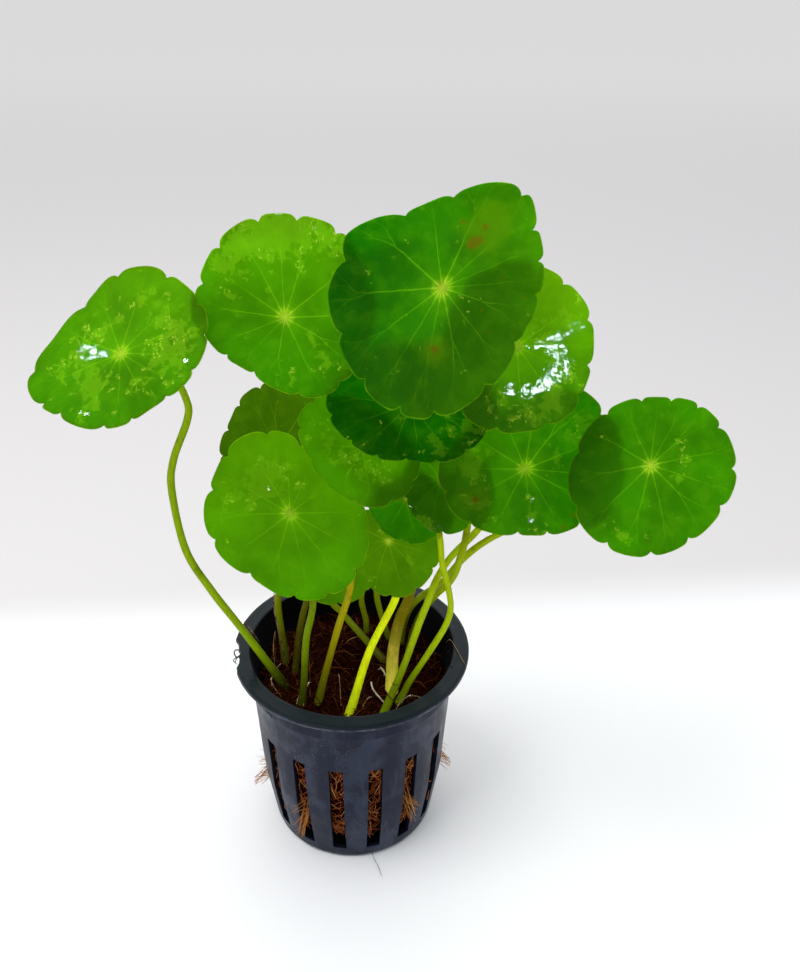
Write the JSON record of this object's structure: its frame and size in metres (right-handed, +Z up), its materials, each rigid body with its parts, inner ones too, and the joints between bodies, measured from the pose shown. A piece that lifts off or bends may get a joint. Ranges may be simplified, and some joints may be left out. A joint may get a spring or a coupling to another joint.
{
  "type": "whorled pennywort",
  "caption": "Water plant with round scalloped leaf blades on thin stalks, rooted in a coir plug that fills a small dark slotted net pot.",
  "frame": {"origin": "middle of the pot's base, on the surface that it stands on", "axes": "+Z up out of the pot, -Y towards the side that the leaves face, +X to that viewer's right"},
  "size_m": [0.1415, 0.066, 0.1721],
  "materials": {
    "pot": "satin",
    "coir": "matte",
    "leaf_bright": "satin",
    "leaf_deep": "satin",
    "leaf_olive": "satin",
    "stalk": "satin"
  },
  "bodies": {
    "root": {"net_pot": "pot", "coir_plug": "coir", "leaf_far_left": "leaf_bright", "leaf_upper_left": "leaf_bright", "leaf_top": "leaf_bright", "leaf_upper_right": "leaf_deep", "leaf_middle": "leaf_deep", "leaf_lower_right": "leaf_bright", "leaf_far_right": "leaf_bright", "leaf_olive": "leaf_olive", "leaf_lower_left": "leaf_bright", "leaf_centre": "leaf_deep", "leaf_small_right": "leaf_bright", "leaf_small_dark": "leaf_deep", "leaf_small_front": "leaf_bright", "leaf_small_back": "leaf_bright", "stalk_far_left": "stalk", "stalk_upper_left": "stalk", "stalk_top": "stalk", "stalk_upper_right": "stalk", "stalk_middle": "stalk", "stalk_lower_right": "stalk", "stalk_far_right": "stalk", "stalk_olive": "stalk", "stalk_lower_left": "stalk", "stalk_centre": "stalk", "stalk_small_right": "stalk", "stalk_small_dark": "stalk", "stalk_small_front": "stalk", "stalk_small_back": "stalk"}
  },
  "joints": []
}
